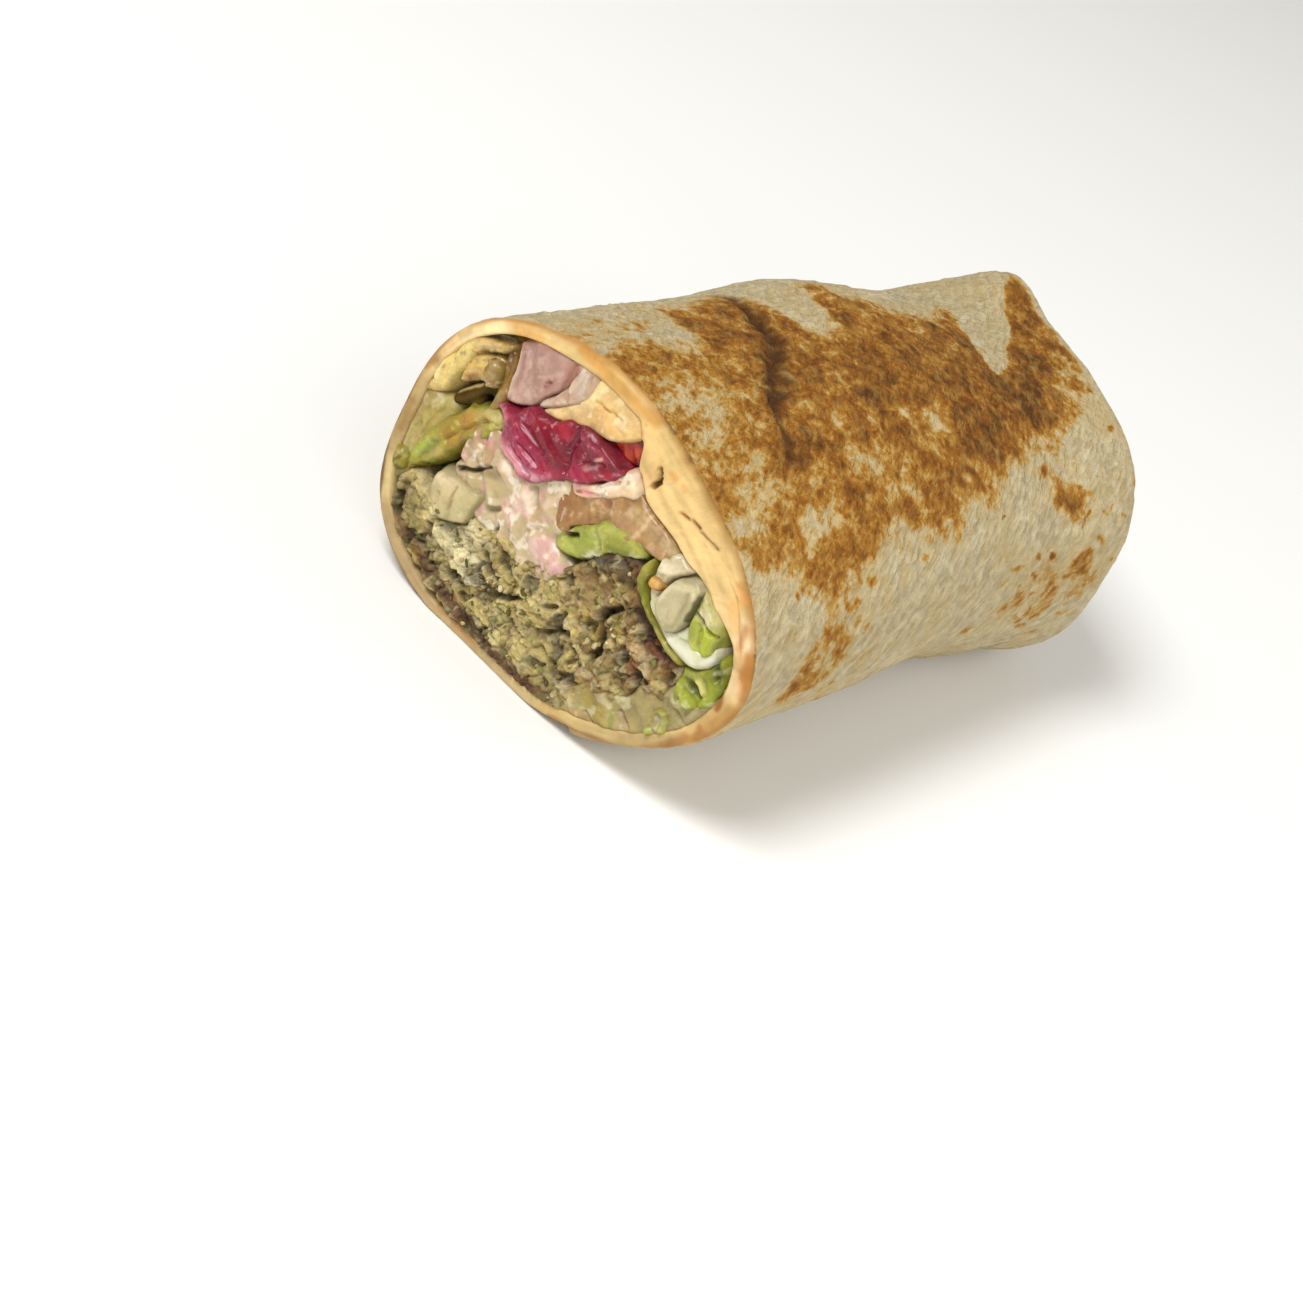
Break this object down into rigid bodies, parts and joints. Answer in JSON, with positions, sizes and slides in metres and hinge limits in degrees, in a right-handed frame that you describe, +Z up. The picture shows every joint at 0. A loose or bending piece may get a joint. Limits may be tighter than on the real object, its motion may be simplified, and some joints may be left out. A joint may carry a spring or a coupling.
{
  "type": "falafel wrap half",
  "caption": "Half of a falafel wrap cut across: a toasted flatbread roll folded shut at one end, with falafel, pickles, salad and sauce packed inside it and shown at the cut.",
  "frame": {"origin": "centre of the bounding box, at its bottom, where the flat underside rests", "axes": "+X along the roll from the cut face towards the folded end, +Y across the roll, +Z up from the flat underside"},
  "size_m": [0.1246, 0.0712, 0.0489],
  "materials": {
    "bread": "toasted wheat flatbread, dry and matt, pale cream with brown toasting",
    "bread_inside": "inner layer of the bread, soaked orange-cream with sauce",
    "falafel": "crumbly olive-beige falafel with a dark fried crust",
    "turnip": "pickled turnip, wet magenta",
    "onion": "pickled onion slice, dusty pink and wet",
    "onion_heart": "pale inner onion slice, wet",
    "tomato": "tomato wedge, salmon-brown and wet",
    "tomato_deep": "dark red tomato flesh in shadow",
    "lettuce": "crisp lettuce, bright yellow-green",
    "lettuce_tan": "limp lettuce stained with dressing",
    "tahini": "white tahini sauce, satin",
    "pink_sauce": "garlic sauce stained pink",
    "cucumber": "grey-olive cucumber dice, wet",
    "cucumber_pale": "pale cucumber block, coated in sauce",
    "carrot": "small shred of carrot",
    "pepper": "yellow pickled pepper, wet",
    "pickle": "olive pickled cucumber, wet",
    "pickle_dark": "dark olive pickle leaf, wet",
    "hummus": "beige-olive hummus, soft and matt"
  },
  "bodies": {
    "root": {"bread_scrap": "bread_inside", "bread_wrap": "bread", "carrot_shred": "carrot", "cucumber_block": "cucumber_pale", "cucumber_dice": "cucumber", "falafel_left": "falafel", "falafel_right": "falafel", "garlic_sauce": "pink_sauce", "hummus_left": "hummus", "hummus_right": "hummus", "hummus_side": "hummus", "lettuce_clump": "lettuce", "lettuce_curl": "lettuce", "lettuce_fold": "lettuce", "lettuce_knot": "lettuce", "lettuce_left": "lettuce_tan", "lettuce_side": "lettuce", "lettuce_strip": "lettuce", "onion_heart": "onion_heart", "onion_slice": "onion", "pepper_fold": "pepper", "pickle_dice": "pickle", "pickle_fold": "pickle", "pickle_leaf": "pickle_dark", "pickle_rind": "pickle", "pickle_shaving": "pickle", "sauce_smear": "pink_sauce", "sauce_stain": "pink_sauce", "tahini_edge": "tahini", "tahini_pool": "tahini", "tomato_scrap": "tomato_deep", "tomato_wedge": "tomato", "turnip_pickle": "turnip"}
  },
  "joints": []
}
